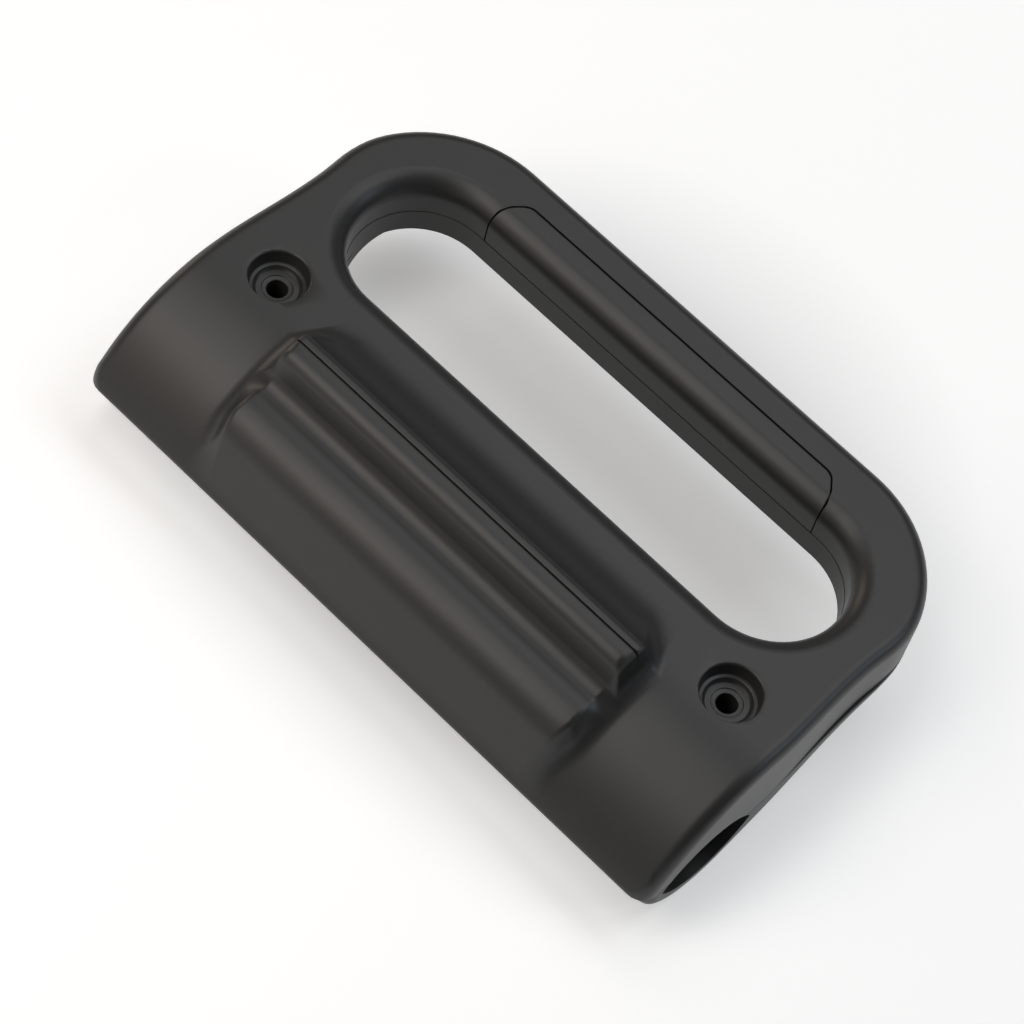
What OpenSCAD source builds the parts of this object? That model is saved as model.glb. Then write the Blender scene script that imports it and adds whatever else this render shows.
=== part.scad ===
// Cargo cover handle: two moulded shells that close round the end bar of a
// roller cover, with a finger slot, a soft grip insert and two screw wells.
// Datum of every module: the flat top of the plate is z = 0, the line through
// the two screw wells is y = 0, and the lip lies towards -Y.

/* [Body] */
// overall length along X
body_w = 160; // [150:1:172]
// overall depth from the lip to the back of the grip
body_d = 99; // [96:0.5:106]
// height of the flat top over the lowest point of the belly
body_h = 33; // [31:0.5:38]
// wall thickness of both shells
wall = 2.5; // [2:0.1:3]
// rounding along the top edge
edge_r = 3; // [2:0.1:4]
// radius of the two back corners, seen from above
corner_r = 30.5; // [24:0.5:33]
// radius of the two corners of the lip, seen from above
lip_corner_r = 4; // [2:0.5:8]

/* [Wings] */
// distance from the lip back to the screw line
lip_reach = 37.4; // [35:0.1:39]
// radius of the roll-down towards the lip
wing_r = 40; // [38:0.5:60]
// where the roll-down starts, in front of the screw line
wing_start = 3; // [1:0.5:5]
// height of the upright face of the lip
lip_t = 0.6; // [0.4:0.1:4]

/* [Finger slot] */
// length of the slot between its walls
slot_w = 132; // [120:1:136]
// depth of the slot between its walls
slot_d = 33; // [28:0.5:35]
// distance from the screw line back to the middle of the slot
slot_y = 29; // [28:0.5:31]
// large rounding round the top of the slot
slot_r = 5; // [3:0.5:6]
// thickness of the wall round the slot
collar_t = 3; // [2.5:0.1:3.5]
// depth of the joint between the shells on the slot wall
collar_z = 9.5; // [8:0.5:11]
// how far the lower shell stands proud on the slot wall
ledge = 0.4; // [0.2:0.1:0.8]

/* [Hump] */
// length of the hump between its end walls
hump_w = 101.2; // [90:0.2:108]
// height of the crest over the flat top
crest_h = 7; // [5.5:0.1:8]
// groove position in front of the screw line
crest_y = 11.65; // [11:0.05:13]
// flat of the crest in front of the groove
crest_front = 1.95; // [1.5:0.05:3]
// flat of the crest behind the groove
crest_back = 1.05; // [0.8:0.05:1.6]
// rounding at the front of the crest
crest_r = 3.2; // [2:0.1:3.5]
// rounding at the back of the crest
shoulder_r = 2.4; // [1.5:0.1:3]
// radius of the cove behind the crest
cove_r = 17.2; // [14:0.1:20]
// width of the groove along the crest
groove_w = 0.5; // [0.3:0.05:0.8]
// depth of the groove along the crest
groove_d = 0.7; // [0.4:0.1:1.2]
// lean of the step below the crest, in degrees from flat
step_tilt = 76; // [70:1:82]
// fillet where the step meets the shelf
step_r = 3.7; // [2.5:0.1:4.5]
// height of the bulge, below the flat top
bulge_z = 1.5; // [0.5:0.1:3]
// radius of the bulge
bulge_r = 9.4; // [8:0.1:10.5]
// fall of the shelf behind the bulge, in degrees
shelf_fall = 6.75; // [4:0.25:8]
// lean of the front of the hump, in degrees from flat
front_tilt = 68; // [65:0.5:74]
// how much each end of the hump draws in towards the cove
cove_draw = 2.6; // [1:0.1:5]
// how much each end of the hump draws in towards the lip
lip_draw = 1.6; // [0.5:0.1:4]

/* [Screw wells] */
// distance between the two screw wells
well_pitch = 128; // [120:1:132]
// radius of the mouth of a well
well_r = 6.4; // [5.6:0.1:7]
// depth of the ledge in a well
well_step = 2.4; // [1.6:0.1:3]
// radius of a well below its ledge
well_in_r = 5; // [4.2:0.1:5.4]
// depth of the floor of a well
well_z = 4.2; // [3.6:0.1:6]
// radius of the ring round the hole
ring_r = 3.3; // [2.9:0.1:3.8]
// depth of the ring round the hole
ring_z = 0.3; // [0.2:0.1:0.6]
// radius of the screw hole
hole_r = 2.25; // [1.8:0.05:2.7]
// radius of the pilot hole in the lower boss
pilot_r = 1.6; // [1.2:0.05:1.75]
// length of the pilot hole
pilot_l = 8; // [6:0.5:9]
// outside radius of the lower boss
boss_r = 4.4; // [4:0.1:4.8]
// depth where the upper and lower bosses meet
boss_z = 16; // [13:0.5:18]

/* [Grip insert] */
// length of the insert along its back edge
insert_w = 86.6; // [70:0.2:92]
// extra length of the insert at the slot wall, both ends together
insert_flare = 8; // [2:0.5:12]
// width of the insert on the flat top, from the slot wall
insert_d = 7.9; // [7:0.1:9.5]
// thickness of the insert
insert_t = 2; // [1.6:0.1:2.2]
// visible gap round the insert
insert_gap = 0.4; // [0.3:0.05:0.6]
// rounding of the two back corners of the insert
insert_r = 1.5; // [0.5:0.1:2.5]

/* [Belly and tunnel] */
// outside radius of the belly
belly_r = 20; // [19:0.5:22]
// belly centre in front of the screw line
belly_y = 18; // [17:0.5:19]
// depth of the flat underside of the grip
grip_h = 15.6; // [15:0.1:18]
// depth of the joint between the shells round the grip
seam_z = 13.5; // [12.5:0.1:14.5]
// where the joint starts to fall towards the lip, behind the screw line
seam_y = 34; // [30:0.5:38]
// radius of both arcs of the tunnel end
lens_r = 15.5; // [14:0.1:16.5]
// height of the tunnel end
lens_h = 14; // [11:0.1:14.5]
// depth of the middle of the tunnel
lens_z = 22.5; // [22:0.1:24]

/* [Hidden] */
$fn = 96;
eps = 0.01;
half = body_w / 2;
back_y = body_d - lip_reach;
corner_x = half - corner_r;
corner_y = back_y - corner_r;
wing_drop = wing_r - sqrt(pow(wing_r, 2) - pow(lip_reach - wing_start, 2));
lip_z = -(wing_drop + lip_t);
slot_cx = (slot_w - slot_d) / 2;
slot_wall = slot_y + slot_d / 2;
belly_z = -(body_h - belly_r);
shift_y = lip_reach - body_d / 2;
tunnel_y = -belly_y;

// the slope starts this much inside the belly, so that the two cross instead of just touching
slope_in = 0.03;

// normals of the three straight faces of the hump, in (y, z)
front_n = [-sin(front_tilt), cos(front_tilt)];
shelf_n = [sin(shelf_fall), cos(shelf_fall)];
step_n = [-sin(step_tilt), cos(step_tilt)];

// bulge: a circle tangent to the front face
bulge_cz = -bulge_z - bulge_r;
front_len = (bulge_cz - lip_z + bulge_r * cos(front_tilt)) / sin(front_tilt);
bulge_cy = -lip_reach + front_len * cos(front_tilt) + bulge_r * sin(front_tilt);
bulge_c = [bulge_cy, bulge_cz];

// crest: two circles, with the cove tangent to the one at the back
crest_c = [-crest_y - crest_front, crest_h - crest_r];
shoulder_c = [-crest_y + crest_back, crest_h - shoulder_r];
cove_reach = sqrt(crest_h * (2 * (cove_r + shoulder_r) - crest_h));
cove_c = [shoulder_c[0] + cove_reach, cove_r];
cove_t = shoulder_c + shoulder_r * (cove_c - shoulder_c) / (cove_r + shoulder_r);

// fillet between the shelf and the step: where the two offset lines cross
shelf_k = shelf_n * bulge_c + bulge_r + step_r;
step_k = step_n * crest_c + crest_r + step_r;
cross_d = shelf_n[0] * step_n[1] - shelf_n[1] * step_n[0];
fillet_y = (shelf_k * step_n[1] - step_k * shelf_n[1]) / cross_d;
fillet_z = (shelf_n[0] * step_k - step_n[0] * shelf_k) / cross_d;
fillet_c = [fillet_y, fillet_z];

// slope under the body: tangent to the belly, ending under the grip
slope_dy = seam_y + belly_y;
slope_dz = -grip_h - belly_z;
slope_len = sqrt(pow(slope_dy, 2) + pow(slope_dz, 2));
slope_a = atan2(slope_dz, slope_dy) + asin(belly_r / slope_len);

// moves the datum to the bottom centre of the whole object
module place() {
    translate([0, shift_y, body_h])
        children();
}

// extrudes a (y, z) outline along X, centred
module along_x(w) {
    translate([-w / 2, 0, 0])
        rotate([90, 0, 90])
            linear_extrude(w)
                children();
}

// the two screw positions
module at_wells() {
    for (s = [-1, 1])
        translate([s * well_pitch / 2, 0, 0])
            children();
}

// section of a slab with its two upper edges rounded
module round_top(w, h, r) {
    translate([-w / 2 + r, -h])
        square([w - 2 * r, h]);
    translate([-w / 2, -h])
        square([w, h - r]);
    for (s = [-1, 1])
        translate([s * (w / 2 - r), -r])
            circle(r);
}

// one half of that section, for turning into a disc
module round_disc(rad, h, r) {
    translate([0, -h])
        square([rad - r, h]);
    translate([0, -h])
        square([rad, h - r]);
    translate([rad - r, -r])
        circle(r);
}

// the plate behind y0, with large back corners and a rounded top edge
module plate(y0, h, r) {
    translate([0, corner_y, 0])
        rotate([90, 0, 0])
            linear_extrude(corner_y - y0)
                round_top(body_w, h, r);
    for (s = [-1, 1])
        translate([s * corner_x, corner_y, 0])
            rotate_extrude()
                round_disc(corner_r, h, r);
    translate([0, corner_y, 0])
        along_x(2 * corner_x)
            round_disc(corner_r, h, r);
}

// a cylinder along X with both end edges rounded
module roller(rad, w, r) {
    rotate([0, 90, 0])
        rotate_extrude()
            union() {
                translate([0, -w / 2])
                    square([rad - r, w]);
                translate([0, -w / 2 + r])
                    square([rad, w - 2 * r]);
                for (s = [-1, 1])
                    translate([rad - r, s * (w / 2 - r)])
                        circle(r);
            }
}

// plan outline of the body, drawn in by d
module plan(d) {
    difference() {
        union() {
            translate([-half + d, -lip_reach + d])
                square([body_w - 2 * d, lip_reach + corner_y - d]);
            translate([-corner_x, 0])
                square([2 * corner_x, back_y - d]);
            for (s = [-1, 1])
                translate([s * corner_x, corner_y])
                    circle(corner_r - d);
        }
        for (s = [-1, 1])
            translate([s * half, -lip_reach])
                difference() {
                    square(2 * (lip_corner_r + d), center = true);
                    translate([-s * (lip_corner_r + d), lip_corner_r + d])
                        circle(lip_corner_r);
                }
    }
}

// plan outline of the slot, grown by d
module slot_plan(d) {
    translate([-slot_cx, slot_y - slot_d / 2 - d])
        square([2 * slot_cx, slot_d + 2 * d]);
    for (s = [-1, 1])
        translate([s * slot_cx, slot_y])
            circle(slot_d / 2 + d);
}

// the slot with its large rounding, flared up to the flat top
module slot_flare() {
    translate([0, 0, -body_h])
        linear_extrude(body_h + 1)
            slot_plan(0);
    difference() {
        translate([0, 0, -slot_r])
            linear_extrude(slot_r + 1)
                slot_plan(slot_r);
        translate([0, 0, -slot_r])
            flare_ring();
    }
}

// quarter-round ring that leaves the rounding of the slot
module flare_ring() {
    reach = slot_d + 2 * slot_r;
    for (s = [-1, 1])
        translate([s * slot_cx, slot_y, 0])
            intersection() {
                rotate_extrude()
                    translate([slot_d / 2 + slot_r, 0])
                        circle(slot_r);
                translate([s * reach / 2, 0, 0])
                    cube([reach, 2 * reach, 4 * slot_r], center = true);
            }
    for (s = [-1, 1])
        translate([0, slot_y + s * (slot_d / 2 + slot_r), 0])
            rotate([0, 90, 0])
                cylinder(r = slot_r, h = 2 * slot_cx, center = true);
}

// everything over the joint between the two shells, as a (y, z) outline
module over_seam() {
    polygon([
        [-lip_reach - 1, crest_h + 1],
        [-lip_reach - 1, lip_z],
        [tunnel_y + lens_r, lip_z],
        [seam_y, -seam_z],
        [back_y + 1, -seam_z],
        [back_y + 1, crest_h + 1]
    ]);
}

// side view of the hump, from the lip to the end of the cove
module hump_side() {
    bulge_a = bulge_c + bulge_r * front_n;
    bulge_b = bulge_c + bulge_r * shelf_n;
    fillet_a = fillet_c - step_r * shelf_n;
    fillet_b = fillet_c - step_r * step_n;
    crest_a = crest_c + crest_r * step_n;
    difference() {
        union() {
            polygon([
                [-lip_reach, lip_z],
                bulge_a,
                bulge_b,
                fillet_a,
                fillet_b,
                crest_a,
                [crest_c[0], crest_h],
                [shoulder_c[0], crest_h],
                cove_t,
                [cove_c[0], 0],
                [cove_c[0], lip_z]
            ]);
            translate(bulge_c)
                circle(bulge_r);
            translate(crest_c)
                circle(crest_r);
            translate(shoulder_c)
                circle(shoulder_r);
        }
        translate(cove_c)
            circle(cove_r);
        translate(fillet_c)
            circle(step_r);
        translate([-crest_y - groove_w / 2, crest_h - groove_d])
            square([groove_w, groove_d + 1]);
    }
}

// plan of the hump: its ends draw in towards the cove and towards the lip
module hump_plan() {
    hw = hump_w / 2;
    mid_y = shoulder_c[0] + shoulder_r;
    polygon([
        [-hw + lip_draw, -lip_reach],
        [hw - lip_draw, -lip_reach],
        [hw, bulge_cy],
        [hw, mid_y],
        [hw - cove_draw, cove_c[0]],
        [-hw + cove_draw, cove_c[0]],
        [-hw, mid_y],
        [-hw, bulge_cy]
    ]);
}

module hump() {
    intersection() {
        along_x(hump_w)
            hump_side();
        translate([0, 0, lip_z])
            linear_extrude(crest_h - lip_z + 1)
                hump_plan();
    }
}

// hollow of the hump: follows its front and bulge at one wall thickness
module hump_hollow() {
    bulge_in = bulge_c + (bulge_r - wall) * front_n;
    run = (lip_z - bulge_in[1]) / tan(front_tilt);
    along_x(hump_w - 2 * lip_draw - 2 * wall) {
        polygon([
            [bulge_in[0] + run, lip_z],
            bulge_in,
            [bulge_cy, bulge_cz + bulge_r - wall],
            [bulge_cy, lip_z]
        ]);
        translate(bulge_c)
            circle(bulge_r - wall);
        translate([bulge_cy, lip_z])
            square([-bulge_cy - wing_start, bulge_cz + bulge_r - wall - lip_z - 1]);
        translate([crest_c[0] - 0.6, lip_z])
            square([crest_front + crest_back + 1.7, crest_h - wall - 0.3 - lip_z]);
    }
}

// outer form of the upper shell
module upper_form() {
    plate(-wing_start, body_h, edge_r);
    intersection() {
        translate([0, -wing_start, -wing_r])
            roller(wing_r, body_w, edge_r);
        translate([-half - 1, -lip_reach, lip_z])
            cube([body_w + 2, lip_reach - wing_start, -lip_z + 1]);
    }
    hump();
}

// hollow of the upper shell, before the walls inside it are left standing
module upper_hollow() {
    intersection() {
        union() {
            translate([0, 0, -body_h])
                linear_extrude(body_h - wall)
                    difference() {
                        plan(wall);
                        translate([-half, -lip_reach])
                            square([body_w, lip_reach - wing_start]);
                    }
            intersection() {
                translate([0, -wing_start, -wing_r])
                    rotate([0, 90, 0])
                        cylinder(r = wing_r - wall, h = body_w - 2 * wall, center = true);
                translate([-half, -lip_reach, -body_h])
                    cube([body_w, lip_reach - wing_start, body_h]);
            }
        }
        translate([0, 0, -body_h])
            linear_extrude(body_h)
                plan(wall);
    }
    hump_hollow();
}

// walls that stand inside the upper shell: slot collar, insert backing, boss tubes
module upper_inner() {
    translate([0, 0, -collar_z])
        linear_extrude(collar_z - wall + eps)
            slot_plan(collar_t);
    back_t = insert_t + 2;
    translate([-insert_w / 2 - insert_flare / 2 - 2, slot_wall, -collar_z])
        cube([insert_w + insert_flare + 4, back_t, collar_z - wall + eps]);
    translate([-insert_w / 2 - insert_flare / 2 - 2, slot_wall, -back_t - 0.5])
        cube([insert_w + insert_flare + 4, insert_d + 1.5, back_t + 0.5 - wall + eps]);
    at_wells() {
        translate([0, 0, -well_z - wall])
            cylinder(r = well_in_r + 1.8, h = well_z);
        translate([0, 0, -boss_z])
            cylinder(r = boss_r, h = boss_z - wall);
    }
}

module well() {
    translate([0, 0, -well_step])
        cylinder(r = well_r, h = well_step + 1);
    translate([0, 0, -well_z])
        cylinder(r = well_in_r, h = well_z);
    translate([0, 0, -well_z - ring_z])
        cylinder(r = ring_r, h = well_z);
    translate([0, 0, -boss_z - 1])
        cylinder(r = hole_r, h = boss_z);
}

// lens-shaped end of the bar tunnel, cut right through along X
module tunnel() {
    off = lens_r - lens_h / 2;
    translate([0, tunnel_y, -lens_z])
        along_x(body_w + 2)
            intersection() {
                translate([0, off])
                    circle(lens_r);
                translate([0, -off])
                    circle(lens_r);
            }
}

// outline of the insert in plan, grown by g at its ends and its back
module insert_plan(g) {
    bw = insert_w / 2 + g;
    fw = bw + insert_flare / 2;
    by = slot_wall + insert_d + g;
    side = [by - slot_wall, fw - bw] / norm([by - slot_wall, fw - bw]);
    cx = bw - insert_r * (1 - side[1]) / side[0];
    tx = cx + insert_r * side[0];
    ty = by - insert_r + insert_r * side[1];
    polygon([
        [-fw, slot_wall - 1],
        [fw, slot_wall - 1],
        [fw, slot_wall],
        [tx, ty],
        [cx, by],
        [-cx, by],
        [-tx, ty],
        [-fw, slot_wall]
    ]);
    for (s = [-1, 1])
        translate([s * cx, by - insert_r])
            circle(insert_r);
}

// side view of the grip's inner edge, drawn in by d from its outer face
module grip_edge(d) {
    w = insert_d + insert_gap + 1;
    translate([slot_wall + slot_r, -collar_z - 1])
        square([w - slot_r, collar_z + 1 - d]);
    translate([slot_wall + d, -collar_z - 1])
        square([slot_r - d + eps, collar_z + 1 - slot_r]);
    translate([slot_wall + slot_r, -slot_r])
        circle(slot_r - d);
}

// room for the insert: all that lies outside its seat
module insert_room(g) {
    difference() {
        translate([0, 0, -collar_z])
            linear_extrude(collar_z + 1)
                insert_plan(g);
        along_x(insert_w + insert_flare + 6)
            grip_edge(insert_t);
    }
}

// the insert itself: an angle strip that follows the rounded edge
module insert_form() {
    intersection() {
        insert_room(0);
        along_x(insert_w + insert_flare + 4)
            grip_edge(0);
    }
}

module upper_shell() {
    color([0.13, 0.13, 0.13])
        place()
            difference() {
                intersection() {
                    upper_form();
                    along_x(body_w + 2)
                        over_seam();
                    translate([0, 0, -body_h])
                        linear_extrude(body_h + crest_h + 1)
                            plan(0);
                }
                difference() {
                    upper_hollow();
                    upper_inner();
                }
                slot_flare();
                insert_room(insert_gap);
                at_wells()
                    well();
                tunnel();
            }
}

// side view of the slope behind the belly, drawn in by d
module slope_side(d) {
    run = slope_len * cos(asin(belly_r / slope_len)) + 7;
    translate([tunnel_y, belly_z])
        rotate(slope_a)
            translate([0, d - belly_r + slope_in])
                square([run, belly_r - d - slope_in]);
}

// side view of the belly and the slope, drawn in by d
module under_side(d) {
    translate([tunnel_y, belly_z])
        circle(belly_r - d);
    slope_side(d);
}

// everything under the joint between the two shells, as a (y, z) outline
module under_seam() {
    polygon([
        [-lip_reach - 1, -body_h - 1],
        [-lip_reach - 1, lip_z],
        [tunnel_y + lens_r, lip_z],
        [seam_y, -seam_z],
        [back_y + 1, -seam_z],
        [back_y + 1, -body_h - 1]
    ]);
}

// belly and slope, cut to the plan of the body
module under_body(d) {
    intersection() {
        along_x(body_w)
            under_side(d);
        translate([0, 0, -body_h])
            linear_extrude(body_h)
                plan(d);
    }
}

// outer form of the lower shell with its hollow
module lower_form() {
    difference() {
        intersection() {
            translate([0, 0, -body_h])
                linear_extrude(body_h)
                    plan(0);
            along_x(body_w + 2)
                intersection() {
                    under_seam();
                    union() {
                        under_side(0);
                        translate([seam_y - 4, -grip_h])
                            square([back_y - seam_y + 5, grip_h]);
                    }
                }
        }
        under_body(wall);
    }
}

// wall round the slot and the two lower bosses
module lower_inner() {
    translate([0, 0, -grip_h])
        linear_extrude(grip_h - collar_z)
            slot_plan(collar_t - ledge);
    intersection() {
        along_x(slot_w + 2 * collar_t)
            slope_side(0);
        union() {
            translate([0, 0, -body_h])
                linear_extrude(body_h - collar_z)
                    slot_plan(collar_t - ledge);
            at_wells()
                translate([0, 0, -body_h])
                    cylinder(r = boss_r, h = body_h - boss_z);
        }
    }
}

module lower_shell() {
    color([0.12, 0.12, 0.12])
        place()
            difference() {
                union() {
                    lower_form();
                    lower_inner();
                }
                translate([0, 0, -body_h - 1])
                    linear_extrude(body_h + 1)
                        slot_plan(-ledge);
                at_wells()
                    translate([0, 0, -boss_z - pilot_l])
                        cylinder(r = pilot_r, h = pilot_l + 1);
                tunnel();
            }
}

module grip_insert() {
    color([0.14, 0.14, 0.14])
        place()
            insert_form();
}

upper_shell();
lower_shell();
grip_insert();
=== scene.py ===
import logging
import math
from dataclasses import dataclass, field
from enum import Enum
from functools import cached_property
from typing import Any, Callable, Sequence, Union

import bmesh
import bpy
from bmesh.types import BMesh, BMEdge, BMVert
from bpy.types import Object
from mathutils import Matrix, Vector


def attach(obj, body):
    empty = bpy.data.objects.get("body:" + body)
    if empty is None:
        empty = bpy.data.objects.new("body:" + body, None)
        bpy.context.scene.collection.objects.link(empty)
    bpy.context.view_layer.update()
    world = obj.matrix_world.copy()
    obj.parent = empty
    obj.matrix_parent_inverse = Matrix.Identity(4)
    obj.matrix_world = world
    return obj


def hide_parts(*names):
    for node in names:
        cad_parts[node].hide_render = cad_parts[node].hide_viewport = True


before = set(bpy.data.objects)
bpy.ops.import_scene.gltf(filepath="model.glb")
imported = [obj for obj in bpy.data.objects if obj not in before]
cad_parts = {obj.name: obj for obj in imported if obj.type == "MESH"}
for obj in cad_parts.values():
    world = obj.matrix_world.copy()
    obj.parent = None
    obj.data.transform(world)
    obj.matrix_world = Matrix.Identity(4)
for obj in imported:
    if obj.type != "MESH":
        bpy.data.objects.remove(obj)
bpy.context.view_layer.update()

LOG = logging.getLogger("cover_handle")
MM = 0.001
# From the handle's own zero, on the screw line and the flat top, to its bottom centre, in mm.
BODY_SHIFT = -12.1
BODY_LIFT = 33.0
# Heights clear of both shells, for tools that cut right through them, in mm.
FAR_BELOW = -40.0
CLEAR_ABOVE = 2.0
# Cup and tube under a screw well, and the well itself, as (radius, height) in mm.
CUP = ((0, -1.1), (8.0, -1.1), (8.0, -6.9), (4.4, -6.9), (4.4, -16.0), (0, -16.0))
WELL = (
    (0, 1.0), (6.95, 1.0), (6.95, 0.05), (6.72, -0.03), (6.52, -0.16), (6.42, -0.34),
    (6.36, -0.6), (6.0, -2.95), (5.88, -3.14), (5.34, -3.2), (5.16, -3.28), (5.06, -3.46),
    (4.74, -4.04), (4.52, -4.2), (3.4, -4.2), (3.32, -4.26), (3.26, -4.42), (2.9, -4.5),
    (2.4, -4.5), (2.28, -4.58), (2.25, -4.75), (2.25, -17.0), (0, -17.0),
)
# Height of the point that the lamps are aimed at, in metres.
AIM_HEIGHT = 0.02
# Edges that turn more than this many degrees stay sharp.
SHARP = 30.0
# Distances in metres below which points are one point, and an edge has no length.
SAME, NOTHING = 1e-6, 1e-7
# The blackest and the palest colour of the upper mouldings.
BLACK = ((0.021, 0.0207, 0.0205), (0.028, 0.0277, 0.0275))

Pair = tuple[float, float]
Triple = tuple[float, float, float]
# A point of a plan outline: its x and y, its outward direction, and the rounding there.
Rim = tuple[float, float, float, float, float]
# A point of the underside's side view as (y, z), with its outward direction.
Step = tuple[float, float, float, float]
# For each point of a rim, the first point that it grew from.
Home = dict[BMVert, BMVert]


def spot(x: float, y: float, z: float) -> Vector:
    """Place in metres in the shared frame, for a place in mm from the handle's own zero."""
    return Vector((x * MM, (y + BODY_SHIFT) * MM, (z + BODY_LIFT) * MM))


def at_height(place: Vector, height: Callable[[float], float], lift: float = 0.0) -> Vector:
    """The place moved to the height in mm that its own y asks for, plus the lift in mm."""
    y = place.y / MM - BODY_SHIFT
    return Vector((place.x, place.y, (height(y) + lift + BODY_LIFT) * MM))


def ramp(value: float, low: float, high: float) -> float:
    """Smooth step, 0 up to low and 1 from high on."""
    t = min(1.0, max(0.0, (value - low) / (high - low)))
    return t * t * (3 - 2 * t)


def between(a: Pair, b: Pair, t: float) -> Pair:
    """The point that lies the part t of the way from a to b."""
    return a[0] * (1 - t) + b[0] * t, a[1] * (1 - t) + b[1] * t


class Cut(Enum):
    """How one solid is worked into another."""

    ADD = "UNION"
    TAKE_AWAY = "DIFFERENCE"


class Pattern(Enum):
    """The surface patterns of the moulded plastic."""

    CLOUD = "cloud"
    GRAIN = "grain"
    PITS = "pits"


# ---- side profile


@dataclass(frozen=True)
class SideProfile:
    """Side view of the wings and the hump, in mm, front at -y."""

    lip_y: float = -37.4
    lip_z: float = -20.19
    lip_step: Pair = (0.15, 0.37)
    wing_y: float = -3.0
    wing_r: float = 40.0
    front_tilt: float = 68.0
    bulge_y: float = -23.5
    bulge_z: float = -10.9
    bulge_r: float = 9.4
    shelf_fall: float = 6.75
    step_tilt: float = 76.0
    step_r: float = 3.7
    crest_y: float = -13.6
    crest_z: float = 3.8
    crest_r: float = 3.2
    groove_y: float = -11.65
    groove_w: float = 0.5
    groove_d: float = 0.7
    groove_bevel: Pair = (0.12, 0.08)
    groove_draft: float = 0.03
    flat_y: float = -12.7
    shoulder_y: float = -10.6
    shoulder_z: float = 4.6
    shoulder_r: float = 2.4
    cove_y: float = 4.4
    cove_r: float = 17.2
    front_steps: int = 8
    arc_steps: tuple[int, ...] = (22, 16, 14, 9, 20)
    shelf_stations: Pair = (0.35, 0.7)

    def wing_height(self, y: float, drawn_in: float = 0.0) -> float:
        """Height of the plain wing and the flat top.

        Args:
            y: Where the height is read, in mm.
            drawn_in: How far the surface is drawn in, in mm.

        Returns:
            The height in mm.
        """
        back = min(0.0, y - self.wing_y)
        radius = self.wing_r - drawn_in
        return math.sqrt(max(radius * radius - back * back, 1.0)) - self.wing_r

    def fillet_centre(self) -> Pair:
        """Centre of the hollow round between the shelf and the step.

        Returns:
            The centre as (y, z).
        """
        a, b = math.radians(self.shelf_fall), math.radians(-self.step_tilt)
        shelf, step = (math.sin(a), math.cos(a)), (math.sin(b), math.cos(b))
        k = shelf[0] * self.bulge_y + shelf[1] * self.bulge_z + self.bulge_r + self.step_r
        m = step[0] * self.crest_y + step[1] * self.crest_z + self.crest_r + self.step_r
        det = shelf[0] * step[1] - step[0] * shelf[1]
        return (k * step[1] - m * shelf[1]) / det, (shelf[0] * m - step[0] * k) / det

    @staticmethod
    def arc(centre: Pair, radius: float, start: float, end: float, steps: int) -> list[Pair]:
        """Points along a round of the side view.

        Args:
            centre: Centre of the round as (y, z).
            radius: Radius, negative for a hollow round.
            start: Tilt of the first point from straight up, in degrees.
            end: Tilt of the last point.
            steps: How many steps lie between them.

        Returns:
            The points as (y, z), both ends included.
        """
        out = []
        for n in range(steps + 1):
            a = math.radians(start + (end - start) * n / steps)
            out.append((centre[0] + radius * math.sin(a), centre[1] + radius * math.cos(a)))
        return out

    def hump_points(self) -> list[Pair]:
        """Points of the hump from the lip to the end of the cove, as (y, z).

        Returns:
            The points in order.
        """
        bulge_n, hollow_n, crest_n, shoulder_n, cove_n = self.arc_steps
        rise = self.cove_r - self.shoulder_z
        lean = math.degrees(math.atan2(self.cove_y - self.shoulder_y, rise))
        middle, fillet = (self.bulge_y, self.bulge_z), self.fillet_centre()
        bulge = self.arc(middle, self.bulge_r, -self.front_tilt, self.shelf_fall, bulge_n)
        start = (self.lip_y + self.lip_step[0], self.lip_z + self.lip_step[1])
        parts = [n / self.front_steps for n in range(1, self.front_steps)]
        front = [start] + [between(start, bulge[0], t) for t in parts]
        hollow = self.arc(fillet, -self.step_r, self.shelf_fall, -self.step_tilt, hollow_n)
        shelf = [between(bulge[-1], hollow[0], t) for t in self.shelf_stations]
        middle = (self.crest_y, self.crest_z)
        crest = self.arc(middle, self.crest_r, -self.step_tilt, 0, crest_n)
        step = [between(hollow[-1], crest[0], 0.5)]
        middle = (self.shoulder_y, self.shoulder_z)
        shoulder = self.arc(middle, self.shoulder_r, 0, lean, shoulder_n)
        cove = self.arc((self.cove_y, self.cove_r), -self.cove_r, lean, 0, cove_n)[1:]
        return front + bulge + shelf + hollow + step + crest + self.flat() + shoulder + cove

    def flat(self) -> list[Pair]:
        """Points of the flat crest with its groove, as (y, z).

        Returns:
            The points in order.
        """
        half = self.groove_w / 2
        first, last = self.groove_y - half, self.groove_y + half
        top = self.crest_z + self.crest_r
        out, down = self.groove_bevel
        draft, floor = self.groove_draft, top - self.groove_d
        points = [(self.flat_y, top), (first - out, top), (first, top - down)]
        points += [(first + draft, floor), (last - draft, floor)]
        return points + [(last, top - down), (last + out, top)]


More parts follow.
